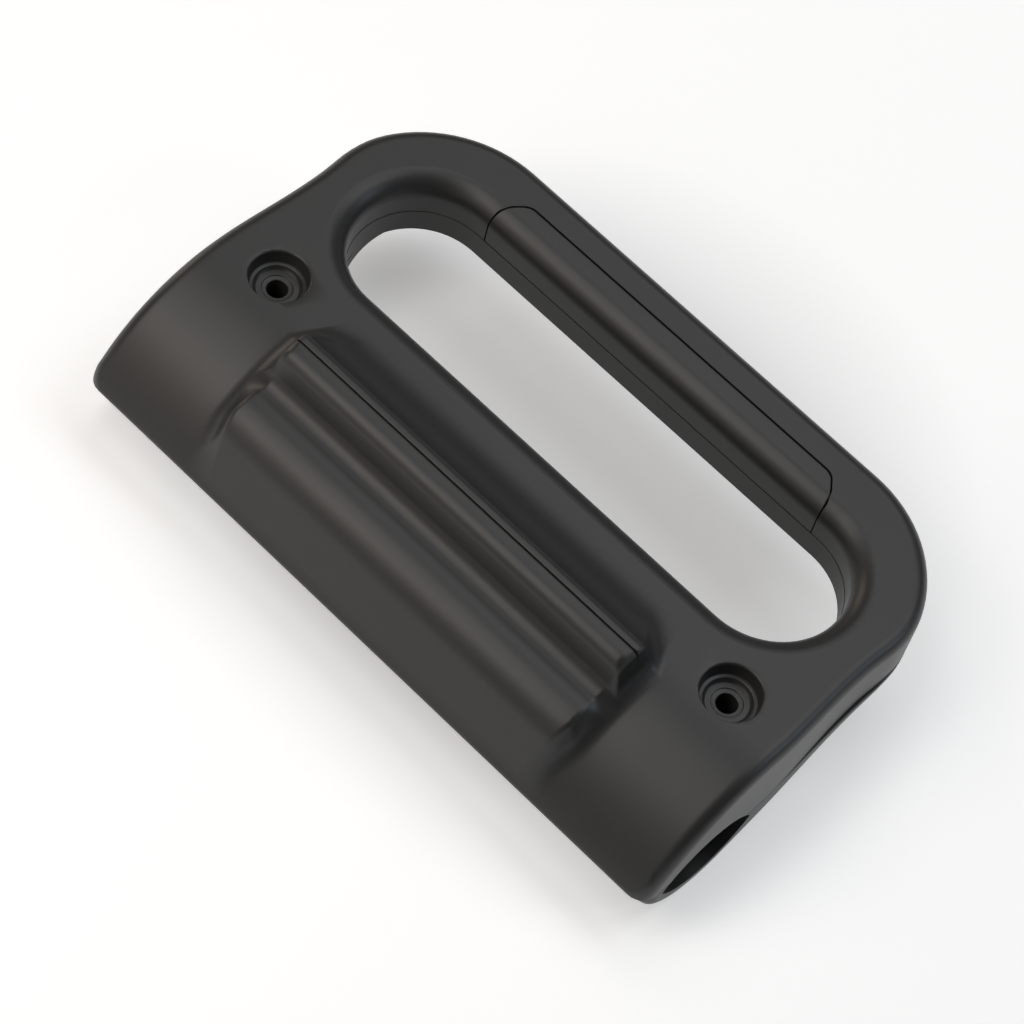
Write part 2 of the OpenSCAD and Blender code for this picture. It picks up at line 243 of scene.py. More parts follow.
@dataclass(frozen=True)
class EndWall:
    """The steep end of the hump, seen from the front: a round, a straight and a foot."""

    width: float = 6.6
    top_r: float = 1.5
    foot_r: float = 4.4
    corner_extra: float = 0.8
    corner_span: tuple[float, ...] = (-18.6, -15.4, -14.4, -11.0)
    top_steps: int = 9
    straight_steps: int = 4
    foot_steps: int = 10

    @property
    def steps(self) -> int:
        """How many steps the whole wall has."""
        return self.top_steps + self.straight_steps + self.foot_steps

    def softer(self, y: float) -> float:
        """How much rounder the top edge is where the crest's front corner turns, in mm."""
        first, full, fade, last = self.corner_span
        return self.corner_extra * ramp(y, first, full) * (1 - ramp(y, fade, last))

    def points(self, height: float, soft: float = 0.0) -> list[Pair]:
        """Shape of the wall where the hump stands a given height over the wing.

        Args:
            height: Height of the hump there, in mm.
            soft: How much wider and rounder the top edge is, in mm.

        Returns:
            Steps outwards and down from the top edge, as (out, down) in mm.
        """
        top_r, width = self.top_r + soft, self.width + soft
        both = top_r + self.foot_r
        low, high = 0.0, math.radians(89.6)
        for _ in range(50):
            a = (low + high) / 2
            tall = both * (1 - math.cos(a)) + math.tan(a) * (width - both * math.sin(a))
            low, high = (a, high) if tall < height else (low, a)
        out = []
        for n in range(self.top_steps):
            b = a * n / self.top_steps
            out.append((top_r * math.sin(b), top_r * (1 - math.cos(b))))
        start = (top_r * math.sin(a), top_r * (1 - math.cos(a)))
        end = (width - self.foot_r * math.sin(a), height - self.foot_r * (1 - math.cos(a)))
        out += [between(start, end, n / self.straight_steps) for n in range(self.straight_steps)]
        for n in range(self.foot_steps + 1):
            b = a * (1 - n / self.foot_steps)
            down = height - self.foot_r * (1 - math.cos(b))
            out.append((width - self.foot_r * math.sin(b), down))
        return out


# ---- mesh helpers


def finish_object(bm: BMesh, name: str, sharp: float = SHARP) -> Object:
    """Turns a bmesh into an object whose faces point outwards and are shaded smooth.

    Args:
        bm: The mesh, which is freed.
        name: Name of the object.
        sharp: Edges that turn more than this many degrees stay sharp.

    Returns:
        The new object, at the origin.
    """
    mesh = bpy.data.meshes.new(name)
    bmesh.ops.recalc_face_normals(bm, faces=bm.faces)
    bm.to_mesh(mesh)
    bm.free()
    shade(mesh, sharp)
    obj = bpy.data.objects.new(name, mesh)
    bpy.context.scene.collection.objects.link(obj)
    return obj


def shade(mesh: bpy.types.Mesh, sharp: float = SHARP) -> None:
    """Shades a mesh smooth, apart from its sharp edges.

    Args:
        mesh: The mesh.
        sharp: Edges that turn more than this many degrees stay sharp.
    """
    mesh.polygons.foreach_set("use_smooth", [True] * len(mesh.polygons))
    mesh.set_sharp_from_angle(angle=math.radians(sharp))
    mesh.update()


def work_in(target: Object, tool: Object, cut: Cut) -> None:
    """Adds one closed solid to another, or takes it away, and removes the tool.

    Args:
        target: The solid that is changed.
        tool: The solid that is worked in.
        cut: Whether it is added or taken away.
    """
    mod = target.modifiers.new(cut.name.lower(), "BOOLEAN")
    mod.operation, mod.solver, mod.object = cut.value, "EXACT", tool
    bpy.context.view_layer.update()
    graph = bpy.context.evaluated_depsgraph_get()
    made = bpy.data.meshes.new_from_object(target.evaluated_get(graph))
    target.modifiers.clear()
    bm = bmesh.new()
    bm.from_mesh(made)
    bmesh.ops.remove_doubles(bm, verts=bm.verts, dist=SAME)
    bmesh.ops.dissolve_degenerate(bm, edges=bm.edges, dist=NOTHING)
    bm.to_mesh(made)
    bm.free()
    old, target.data = target.data, made
    bpy.data.meshes.remove(old)
    spare = tool.data
    bpy.data.objects.remove(tool)
    bpy.data.meshes.remove(spare)


def lathe(bm: BMesh, outline: Sequence[Pair], x: float, steps: int) -> None:
    """Turns a closed (radius, height) outline round an upright axis on the screw line.

    Args:
        bm: The mesh that takes the solid.
        outline: Points from the axis to the axis, in mm.
        x: Where the axis stands across.
        steps: How many faces go round.
    """
    verts = [bm.verts.new(spot(x + r, 0.0, z)) for r, z in outline]
    geom = verts + [bm.edges.new(pair) for pair in zip(verts, verts[1:])]
    turn = {"cent": spot(x, 0.0, 0), "axis": (0, 0, 1), "angle": math.tau}
    bmesh.ops.spin(bm, geom=geom, **turn, steps=steps, use_merge=True)
    bmesh.ops.remove_doubles(bm, verts=bm.verts, dist=NOTHING)


def stack(bm: BMesh, rings: Sequence[Sequence[Vector]]) -> None:
    """Bridges closed rings into one capped solid.

    Args:
        bm: The mesh that takes the solid.
        rings: Rings with the same number of points, from one end to the other.
    """
    last: list[BMEdge] = []
    for k, ring in enumerate(rings):
        verts = [bm.verts.new(p) for p in ring]
        edges = [bm.edges.new((verts[n], verts[(n + 1) % len(verts)])) for n in range(len(verts))]
        if last:
            bmesh.ops.bridge_loops(bm, edges=last + edges)
        if k in (0, len(rings) - 1):
            bmesh.ops.contextual_create(bm, geom=edges)
        last = edges


def grow(bm: BMesh, rim: list[BMEdge], home: Home) -> tuple[list[BMEdge], Home]:
    """Adds one ring of faces to an open rim.

    Args:
        bm: The mesh.
        rim: Edges of the open rim.
        home: The first point of each of its points.

    Returns:
        The new rim, and the first point of each of its points.
    """
    made = bmesh.ops.extrude_edge_only(bm, edges=rim)["geom"]
    verts = [g for g in made if isinstance(g, BMVert)]
    fresh = set(verts)
    came = {}
    for v in verts:
        came[v] = home[next(e.other_vert(v) for e in v.link_edges if e.other_vert(v) not in fresh)]
    return [g for g in made if isinstance(g, BMEdge)], came


def closed_sheet(
    size: tuple[int, int],
    sheet: Callable[[float, int], Vector],
    inside: Callable[[float, int], Vector],
    ring: Callable[[float, int, int], Vector],
    rings: int,
) -> BMesh:
    """Builds a closed form from a sheet, its inside, and rings of faces between their rims.

    Args:
        size: How many faces the sheet has across and along.
        sheet: Place of a sheet point, from its share across, -1 to 1, and its row.
        inside: Place of the inside point that belongs to it.
        ring: Place of a ring point, from the rim point's share and row and the ring's number.
        rings: How many rings there are.

    Returns:
        The mesh.
    """
    bm = bmesh.new()
    bmesh.ops.create_grid(bm, x_segments=size[0], y_segments=size[1], size=1.0)
    place = {v: (v.co.x, round((v.co.y + 1) / 2 * size[1])) for v in bm.verts}
    for v, where in place.items():
        v.co = sheet(*where)
    rim = [e for e in bm.edges if len(e.link_faces) == 1]
    copy = bmesh.ops.duplicate(bm, geom=bm.faces[:])["vert_map"]
    inner = {v: copy[v] for v in place}
    for v, where in place.items():
        inner[v].co = inside(*where)
    home = {v: v for e in rim for v in e.verts}
    for k in range(1, rings + 1):
        rim, home = grow(bm, rim, home)
        for v, source in home.items():
            v.co = ring(*place[source], k)
    _, home = grow(bm, rim, home)
    bmesh.ops.weld_verts(bm, targetmap={v: inner[source] for v, source in home.items()})
    return bm


# ---- materials

Value = Union["Sig", float]


def grey(level: float) -> tuple[float, ...]:
    """A grey, as a colour with full alpha."""
    return level, level, level, 1.0


@dataclass(frozen=True)
class Sig:
    """One shader socket, so that plain sums on it add the nodes that work them out."""

    bench: "Bench"
    socket: bpy.types.NodeSocket

    def _sum(self, kind: str, first: Value, second: Value) -> "Sig":
        """Result of one Math node."""
        return self.bench.node("Math", {0: first, 1: second}, operation=kind)

    def __add__(self, other: Value) -> "Sig":
        """Sum."""
        return self._sum("ADD", self, other)

    def __mul__(self, other: Value) -> "Sig":
        """Product."""
        return self._sum("MULTIPLY", self, other)

    def __sub__(self, other: Value) -> "Sig":
        """Difference."""
        return self._sum("SUBTRACT", self, other)


class Bench:
    """Where one material's nodes are made."""

    def __init__(self, name: str) -> None:
        """Starts an empty material.

        Args:
            name: Name of the material.
        """
        self.material = bpy.data.materials.new(name)
        self.material.use_nodes = True
        self.tree = self.material.node_tree
        self.tree.nodes.clear()

    def node(self, kind: str, inputs: dict[Any, Any], output: Any = 0, **settings: Any) -> Sig:
        """Makes any shader node.

        Args:
            kind: Type of the node, without the words it starts with.
            inputs: Values or links, by socket name or number.
            output: Which output is wanted.
            settings: Properties of the node, set before its sockets.

        Returns:
            That output.
        """
        made = self.tree.nodes.new(f"ShaderNode{kind}")
        for key, value in settings.items():
            setattr(made, key, value)
        for key, value in inputs.items():
            socket = made.inputs[key]
            if isinstance(value, Sig):
                self.tree.links.new(value.socket, socket)
            else:
                socket.default_value = value
        return Sig(self, made.outputs[output] if made.outputs else None)

    def blend(self, factor: Value, first: Any, second: Any) -> Sig:
        """Mix of two colours, where the factor is the share of the second."""
        return self.node("Mix", {0: factor, 6: first, 7: second}, 2, data_type="RGBA")

    def clamp(self, value: Value) -> Sig:
        """Keeps a value between 0 and 1."""
        return self.node("Clamp", {"Value": value})

    def finish(self, surface: Sig) -> bpy.types.Material:
        """Makes a shader the surface of the material, and returns the material."""
        self.node("OutputMaterial", {"Surface": surface})
        return self.material


@dataclass(frozen=True)
class MouldedPlastic:
    """Matt black moulded plastic with a fine eroded texture."""

    name: str
    tone: Triple
    pale: Triple
    roughness: float
    roughness_swing: float = 0.06
    grain_mm: float = 0.32
    grain_depth_mm: float = 0.012
    cloud_mm: float = 24.0
    pit_size: float = 1.9
    mottle: tuple[float, ...] = (0.55, 0.35, 0.15, 0.05)
    relief: Triple = (0.65, 0.35, 0.6)
    specular: float = 0.5
    ior: float = 1.5
    offset: Triple = (0.0, 0.0, 0.0)

    def pattern(self, bench: Bench, where: Sig, kind: Pattern) -> Sig:
        """One pattern on the piece's own coordinates.

        Args:
            bench: Where the nodes are made.
            where: The coordinates.
            kind: Which pattern.

        Returns:
            A value around 0 to 1.
        """
        if kind is Pattern.CLOUD:
            inputs = {"Vector": where, "Scale": 1000 / self.cloud_mm, "Detail": 4.0}
            return bench.node("TexNoise", inputs)
        if kind is Pattern.GRAIN:
            inputs = {"Vector": where, "Scale": 1000 / self.grain_mm, "Detail": 3.0}
            return bench.node("TexNoise", {**inputs, "Roughness": 0.6})
        scale = 1000 / (self.grain_mm * self.pit_size)
        inputs = {"Vector": where, "Scale": scale, "Smoothness": 0.6}
        return bench.node("TexVoronoi", inputs, feature="SMOOTH_F1")

    def make(self) -> bpy.types.Material:
        """Builds the material.

        Returns:
            The finished material.
        """
        bench = Bench(self.name)
        origin = bench.node("TexCoord", {}, "Object")
        where = bench.node("Mapping", {"Vector": origin, "Location": self.offset})
        cloud, grain, pits = (self.pattern(bench, where, kind) for kind in Pattern)
        of_cloud, of_grain, of_pits, less = self.mottle
        mottle = cloud * of_cloud + grain * of_grain + pits * of_pits - less
        colour = bench.blend(bench.clamp(mottle), (*self.tone, 1.0), (*self.pale, 1.0))
        swing = self.roughness_swing
        rough = cloud * swing + grain * swing + (self.roughness - swing)
        bumps, hollows, strength = self.relief
        relief = {"Height": grain * bumps - pits * hollows, "Strength": strength}
        relief["Distance"] = self.grain_depth_mm * MM
        look = {"Base Color": colour, "Roughness": rough}
        look["Normal"] = bench.node("Bump", relief)
        look |= {"Specular IOR Level": self.specular, "IOR": self.ior}
        return bench.finish(bench.node("BsdfPrincipled", look))


UPPER_FINISH = MouldedPlastic("upper_black_plastic", *BLACK, roughness=0.41)
LOWER_FINISH = MouldedPlastic(
    "lower_black_plastic", (0.020,) * 3, (0.027,) * 3, roughness=0.46, offset=(0.3, 0.1, 0.2)
)
GRIP_FINISH = MouldedPlastic(
    "grip_black_plastic", *BLACK, roughness=0.40, grain_mm=0.28, offset=(0.7, 0.4, 0.1)
)


# ---- upper shell


@dataclass
class UpperShell:
    """Upper moulding: flat top with the finger slot, wings, hump, screw wells."""

    side: SideProfile = field(default_factory=SideProfile)
    wall: EndWall = field(default_factory=EndWall)
    half: float = 80.0
    edge_r: float = 3.0
    lip_edge_r: float = 0.15
    lip_corner_r: float = 4.0
    corner_r: float = 30.5
    corner_y: float = 31.1
    waist: float = 1.2
    waist_span: tuple[float, ...] = (-2.0, 24.0, 25.0, 44.0)
    foot_half: float = 53.0
    foot_front: Triple = (-28.0, 9.4, 2.5)
    foot_back: Triple = (-8.0, 11.0, 6.5)
    foot_back_most: float = 1.12
    shell_t: float = 2.5
    thinnest: float = 0.03
    seam_clear: float = 0.05
    ring_gap: float = 0.02
    hump_top: float = 6.0
    flattest: float = 0.42
    seam_y: float = 34.0
    seam_z: float = -13.5
    seam_from: float = -2.5
    slot_half: float = 49.5
    slot_r: float = 16.5
    slot_y: float = 29.0
    slot_round: float = 5.0
    slot_turn: float = 88.0
    slot_steps: int = 14
    end_steps: int = 40
    slot_ends: Pair = (-20.0, 1.0)
    slot_past: float = 0.3
    cup_steps: int = 48
    well_steps: int = 96
    collar_t: float = 3.0
    collar_z: float = -9.5
    collar_top: float = -1.2
    backing_past: float = 2.0
    backing_y: Triple = (-1.0, 4.0, 9.6)
    backing_z: Pair = (-4.5, -1.3)
    tunnel_past: float = 2.0
    lens_y: float = -18.0
    lens_z: float = -22.5
    lens_r: float = 15.5
    lens_h: float = 14.0
    well_x: float = 64.0
    insert_gap: float = 0.4
    flat_rows: int = 14
    round_rows: int = 22
    round_steps: int = 8
    inner_stations: tuple[float, ...] = (0.0, 0.3, 0.55, 0.75, 0.88, 0.95)
    outer_stations: tuple[float, ...] = (0.12, 0.3, 0.55, 0.8, 1.0)
    edge_stations: tuple[float, ...] = (0.2, 0.4, 0.55, 0.7, 0.82, 0.92, 1.0)
    turn_x: float = 70.0
    turn_room: float = 3.0
    corner_run: float = 2.2

    def foot_x(self, y: float) -> float:
        """Where the foot of the hump's end wall lies, across.

        Args:
            y: Place along the side view, in mm.

        Returns:
            Distance from the middle in mm.
        """
        y_front, run_front, front = self.foot_front
        y_back, run_back, back = self.foot_back
        front *= max(0.0, min(1.0, (y_front - y) / run_front))
        back *= max(0.0, min(self.foot_back_most, (y - y_back) / run_back))
        return self.foot_half - front - back

    @cached_property
    def rows(self) -> list[Pair]:
        """Rows of the top surface as (y, height of the hump), from the lip to the back.

        Returns:
            The rows in order.
        """
        out = list(self.side.hump_points())
        y = self.side.cove_y
        for n in range(1, self.flat_rows + 1):
            out.append((y + (self.corner_y - y) * n / self.flat_rows, 0.0))
        reach = self.corner_r - self.edge_r
        for n in range(1, self.round_rows + 1):
            a = math.radians(90 * n / self.round_rows)
            out.append((self.corner_y + reach * math.sin(a), 0.0))
        return out

    def rim(self, row: int) -> Rim:
        """Point of the plan outline on the right side at one row.

        Args:
            row: Number of the row.

        Returns:
            The point of the outline.
        """
        y = self.rows[row][0]
        turn = self.side.lip_y + self.lip_corner_r
        if y < turn:
            return self.corner_rim(45.0 * (turn - y) / (turn - self.rows[0][0]))
        if y <= self.corner_y:
            return self.half - self.pinch(y), y, 1.0, 0.0, self.edge_r
        a = math.asin(min(1.0, (y - self.corner_y) / (self.corner_r - self.edge_r)))
        nx, ny = math.cos(a), math.sin(a)
        out_y = self.corner_y + self.corner_r * ny
        x = self.half - self.corner_r + self.corner_r * nx - self.pinch(out_y)
        return x, out_y, nx, ny, self.edge_r

    def corner_rim(self, angle: float) -> Rim:
        """Point of the plan outline round the corner of the lip.

        Args:
            angle: 0 at the side, 90 at the lip, in degrees.

        Returns:
            The point of the outline.
        """
        a = math.radians(angle)
        r = self.edge_r + (self.lip_edge_r - self.edge_r) * angle / 90
        nx, ny = math.cos(a), -math.sin(a)
        x = self.half - self.lip_corner_r + self.lip_corner_r * nx
        y = self.side.lip_y + self.lip_corner_r + self.lip_corner_r * ny
        return x, y, nx, ny, r

    def pinch(self, y: float) -> float:
        """How far the sides are drawn in to a slight waist, in mm."""
        first, full, fade, last = self.waist_span
        return self.waist * ramp(y, first, full) * (1 - ramp(y, fade, last))

    def front_rim(self, t: float) -> Rim:
        """Point of the plan outline along the lip, to the middle of the corner.

        Args:
            t: Part of the way from turn_x, 0 to 1.

        Returns:
            The point of the outline.
        """
        straight = self.half - self.lip_corner_r - self.turn_x
        way = t * (straight + self.corner_run)
        if way <= straight:
            return self.turn_x + way, self.side.lip_y, 0.0, -1.0, self.lip_edge_r
        return self.corner_rim(90 - 45 * (way - straight) / self.corner_run)

    @property
    def columns(self) -> int:
        """How many columns the top surface has from its middle to one side."""
        stations = (self.inner_stations, self.outer_stations, self.edge_stations)
        return self.wall.steps + sum(len(part) for part in stations)

    def rim_at(self, m: int, row: int) -> Rim:
        """Point of the plan outline that belongs to a grid point on the boundary.

        Args:
            m: Column from the middle.
            row: Number of the row.

        Returns:
            The point of the outline.
        """
        if m == self.columns:
            return self.rim(row)
        x, y, _ = self.top_point(m, row)
        start = self.columns - len(self.edge_stations)
        if row > 0:
            return x, y + self.edge_r, 0.0, 1.0, self.edge_r
        if m > start:
            return self.front_rim(self.edge_stations[m - start - 1])
        return x, self.side.lip_y, 0.0, -1.0, self.lip_edge_r

    def top_point(self, m: int, row: int) -> Triple:
        """One point of the top surface on the right side.

        Args:
            m: Column from the middle.
            row: Number of the row.

        Returns:
            The point in mm.
        """
        y, hump = self.rows[row]
        wing = self.side.wing_height(y)
        height = max(0.0, hump - wing) if y < self.side.cove_y else 0.0
        foot = self.foot_x(y)
        soft = self.wall.softer(y)
        width = self.wall.width + soft
        start = foot - width
        ox, oy, nx, ny, r = self.rim(row)
        edge = (ox - r * nx, oy - r * ny)
        turn = min(self.turn_x, edge[0] - self.turn_room)
        if y > self.corner_y:
            share = (edge[0] / (self.half - self.edge_r))
            start, foot, turn = start * share, foot * share, self.turn_x * share
        if m < len(self.inner_stations):
            return self.inner_stations[m] * start, y, wing + height
        m -= len(self.inner_stations)
        if m <= self.wall.steps:
            out, down = self.wall.points(height, soft)[m]
            return start + (foot - start) * out / width, y, wing + height - down
        m -= self.wall.steps + 1
        if m < len(self.outer_stations):
            return foot + (turn - foot) * self.outer_stations[m], y, wing
        t = self.edge_stations[m - len(self.outer_stations)]
        if row == 0:
            ox, oy, nx, ny, r = self.front_rim(t)
            x, y = ox - r * nx, oy - r * ny
        else:
            x, y = between((turn, y), edge, t)
        return x, y, self.side.wing_height(y)

    def seam_height(self, y: float) -> float:
        """Height of the joint to the lower shell, in mm."""
        t = max(0.0, min(1.0, (y - self.seam_from) / (self.seam_y - self.seam_from)))
        return self.side.lip_z + (self.seam_z - self.side.lip_z) * t

    def column(self, share: float) -> tuple[int, int]:
        """Column from the middle, and side, of a grid point with a share across."""
        i = round(share * self.columns)
        return abs(i), -1 if i < 0 else 1

    def sheet_point(self, share: float, row: int) -> Vector:
        """Place of a point of the top surface.

        Args:
            share: Its share across, -1 to 1.
            row: Number of the row.

        Returns:
            The place in metres.
        """
        m, side = self.column(share)
        x, y, z = self.top_point(m, row)
        return spot(side * x, y, z)

    def inner_point(self, share: float, row: int) -> Vector:
        """Place of the inside point under a point of the top surface.

        Args:
            share: Its share across, -1 to 1.
            row: Number of the row.

        Returns:
            The place in metres.
        """
        m, side = self.column(share)
        x, y, z = self.top_point(m, row)
        lean = min(0.0, y - self.side.wing_y) / self.side.wing_r
        steep = 1 / max(self.flattest, math.sqrt(max(0.0, 1 - lean**2)))
        floor = self.seam_height(y) + self.seam_clear
        low = max(min(z, self.filled(y, z)) - self.shell_t * steep, floor)
        return spot(side * x, y, min(z - self.thinnest, low))

    def filled(self, y: float, z: float) -> float:
        """Height without the groove, so that the inside stays smooth under it."""
        near = abs(y - self.side.groove_y) < self.side.groove_w
        return self.side.crest_z + self.side.crest_r if near and z > self.hump_top else z

    def ring_point(self, share: float, row: int, k: int) -> Vector:
        """Place of a point of the rounded edge, the outer wall or the joint's inner rim.

        Args:
            share: Share across of the point that it grows from.
            row: Row of that point.
            k: Number of the ring.

        Returns:
            The place in metres.
        """
        m, side = self.column(share)
        ox, oy, nx, ny, r = self.rim_at(m, row)
        past = k - self.round_steps
        if past == 1:
            return spot(side * ox, oy, self.seam_height(oy))
        if past == 2:
            return at_height(self.inner_point(share, row), self.seam_height)
        a = math.radians(90 * k / self.round_steps)
        d = r * (1 - math.sin(a))
        y = oy - ny * d
        z = self.side.wing_height(y, r * (1 - math.cos(a)))
        z = max(z, self.seam_height(y) + self.ring_gap * (1 - past))
        return spot(side * (ox - nx * d), y, z)

    def blank(self) -> Object:
        """Builds the closed moulding before the slot, the wells and the seat are cut.

        Returns:
            The new object.
        """
        size, rings = (2 * self.columns, len(self.rows) - 1), self.round_steps + 2
        bm = closed_sheet(size, self.sheet_point, self.inner_point, self.ring_point, rings)
        return finish_object(bm, "upper_shell_skin")

    def slot_ring(self, grow_r: float, z: float) -> list[Vector]:
        """Ring of points round the slot.

        Args:
            grow_r: How far it lies outside the slot's edge, in mm.
            z: Its height.

        Returns:
            The points in order, in metres.
        """
        out, radius = [], self.slot_r + grow_r
        for side in (1, -1):
            for n in range(self.end_steps + 1):
                a = math.pi * n / self.end_steps - math.pi / 2
                x = side * (self.slot_half + radius * math.cos(a))
                out.append(spot(x, self.slot_y + side * radius * math.sin(a), z))
        return out

    def collar(self) -> Object:
        """Wall round the slot and the cups and tubes of the screw wells.

        Returns:
            The new object.
        """
        bm = bmesh.new()
        stack(bm, [self.slot_ring(self.collar_t, z) for z in (self.collar_z, self.collar_top)])
        for side in (-1, 1):
            lathe(bm, CUP, side * self.well_x, self.cup_steps)
        return finish_object(bm, "collar")

    def backing(self) -> Object:
        """Material behind and under the seat of the grip insert.

        Returns:
            The new object.
        """
        bm = bmesh.new()
        strip = GripStrip()
        reach = strip.half + strip.flare + self.backing_past
        wall = self.slot_y + self.slot_r
        first, step, last = (wall + out for out in self.backing_y)
        low, mid, top = self.collar_z, *self.backing_z
        outline = [(first, low), (step, low), (step, mid), (last, mid), (last, top), (first, top)]
        stack(bm, [[spot(x, y, z) for y, z in outline] for x in (-reach, reach)])
        return finish_object(bm, "backing")

    def slot_tool(self) -> Object:
        """The slot with its large rounding, and both screw wells, as one tool.

        Returns:
            The new object.
        """
        bm = bmesh.new()
        low, high = self.slot_ends
        rings = [self.slot_ring(0.0, low)]
        for n in range(self.slot_steps + 1):
            a = math.radians(self.slot_turn * n / self.slot_steps)
            grow_r, z = self.slot_round * (1 - math.cos(a)), self.slot_round * (math.sin(a) - 1)
            rings.append(self.slot_ring(grow_r, z))
        stack(bm, rings + [self.slot_ring(self.slot_round + self.slot_past, high)])
        for side in (-1, 1):
            lathe(bm, WELL, side * self.well_x, self.well_steps)
        return finish_object(bm, "slot_tool")

    def tunnel_tool(self) -> Object:
        """Bar that cuts both ends of the tunnel, between two crossing rounds.

        Returns:
            The new object.
        """
        radius = self.lens_r
        off = radius - self.lens_h / 2
        lean = math.acos(off / radius)
        points = []
        for way, steps in ((1, range(33)), (-1, range(1, 32))):
            for n in steps:
                a = lean * (1 - n / 16)
                z = self.lens_z - way * (off - radius * math.cos(a))
                points.append((self.lens_y + way * radius * math.sin(a), z))
        bm, reach = bmesh.new(), self.half + self.tunnel_past
        stack(bm, [[spot(x, y, z) for y, z in points] for x in (-reach, reach)])
        return finish_object(bm, "tunnel_tool")

    def seat_tool(self) -> Object:
        """Room for the grip insert."""
        return GripStrip(gap=self.insert_gap, over=1.5).solid("seat_tool")

    def build(self) -> Object:
        """Builds the finished upper shell.

        Returns:
            The object, ready to be dressed.
        """
        shell = self.blank()
        work_in(shell, self.collar(), Cut.ADD)
        work_in(shell, self.backing(), Cut.ADD)
        work_in(shell, self.slot_tool(), Cut.TAKE_AWAY)
        work_in(shell, self.seat_tool(), Cut.TAKE_AWAY)
        work_in(shell, self.tunnel_tool(), Cut.TAKE_AWAY)
        shade(shell.data)
        shell.data.materials.clear()
        shell.data.materials.append(UPPER_FINISH.make())
        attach(shell, "root")
        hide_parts("upper_shell")
        return shell


# ---- grip insert


@dataclass
class GripStrip:
    """The strip along the inner edge of the grip, or the room that it needs."""

    gap: float = 0.0
    over: float = 0.0
    half: float = 43.3
    flare: float = 4.0
    back_y: float = 53.4
    wall_y: float = 45.5
    round_r: float = 5.0
    thick: float = 2.0
    low_z: float = -9.5
    corner: float = 1.5
    edge: float = 0.22
    edge_angle: float = 40.0
    bow: float = 0.9
    steps: int = 14
    seat_depth: float = 0.02
    seat_drop: float = 0.2

    def outline(self) -> list[Pair]:
        """Side view of the strip as (y, z), outer face first.

        Returns:
            The points in order.
        """
        cy, cz = self.wall_y + self.round_r, -self.round_r
        back = self.back_y + self.gap
        outer_r = self.round_r + self.over
        inner_r = self.round_r - self.thick - (self.seat_depth if self.over else 0.0)
        low = self.low_z - (self.seat_drop if self.over else 0.0)
        out = [(cy - outer_r, low)]
        for n in range(self.steps + 1):
            a = math.pi / 2 * n / self.steps
            out.append((cy - outer_r * math.cos(a), cz + outer_r * math.sin(a)))
        out += [(back, cz + outer_r), (back, cz + inner_r)]
        for n in range(self.steps + 1):
            a = math.pi / 2 * (1 - n / self.steps)
            out.append((cy - inner_r * math.cos(a), cz + inner_r * math.sin(a)))
        return out + [(cy - inner_r, low)]

    def end_x(self, y: float) -> float:
        """Where the strip ends across, at a place along the side view."""
        t = (self.back_y - y) / (self.back_y - self.wall_y)
        return self.half + self.gap + self.flare * (t + self.bow * t * (1 - t))

    def solid(self, name: str) -> Object:
        """Builds the strip as one closed solid.

        Args:
            name: Name of the object.

        Returns:
            The new object.
        """
        bm = bmesh.new()
        points = self.outline()
        shares = (-1, -0.5, 0, 0.5, 1)
        stack(bm, [[spot(share * self.end_x(y), y, z) for y, z in points] for share in shares])
        back = [e for e in bm.edges if self.is_back_corner(e)]
        shape = {"offset": self.corner * MM, "segments": 6, "profile": 0.5}
        bmesh.ops.bevel(bm, geom=back, **shape, affect="EDGES", material=-1)
        return finish_object(bm, name)

    def is_back_corner(self, edge: BMEdge) -> bool:
        """Tells whether an edge is one of the two upright back corners.

        Args:
            edge: An edge of the strip.

        Returns:
            True for a back corner.
        """
        limit = spot(self.half * 0.9, self.back_y + self.gap - 0.01, 0)
        a, b = (v.co for v in edge.verts)
        outside = min(abs(a.x), abs(b.x)) > limit.x and min(a.y, b.y) > limit.y
        return outside and abs(a.x - b.x) < SAME

    def build(self) -> Object:
        """Builds and dresses the strip.

        Returns:
            The finished object.
        """
        strip = self.solid("grip_insert_strip")
        mod = strip.modifiers.new("soft_edges", "BEVEL")
        mod.width, mod.segments, mod.harden_normals = self.edge * MM, 3, True
        mod.limit_method, mod.angle_limit = "ANGLE", math.radians(self.edge_angle)
        strip.data.materials.append(GRIP_FINISH.make())
        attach(strip, "root")
        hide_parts("grip_insert")
        return strip


# ---- lower shell


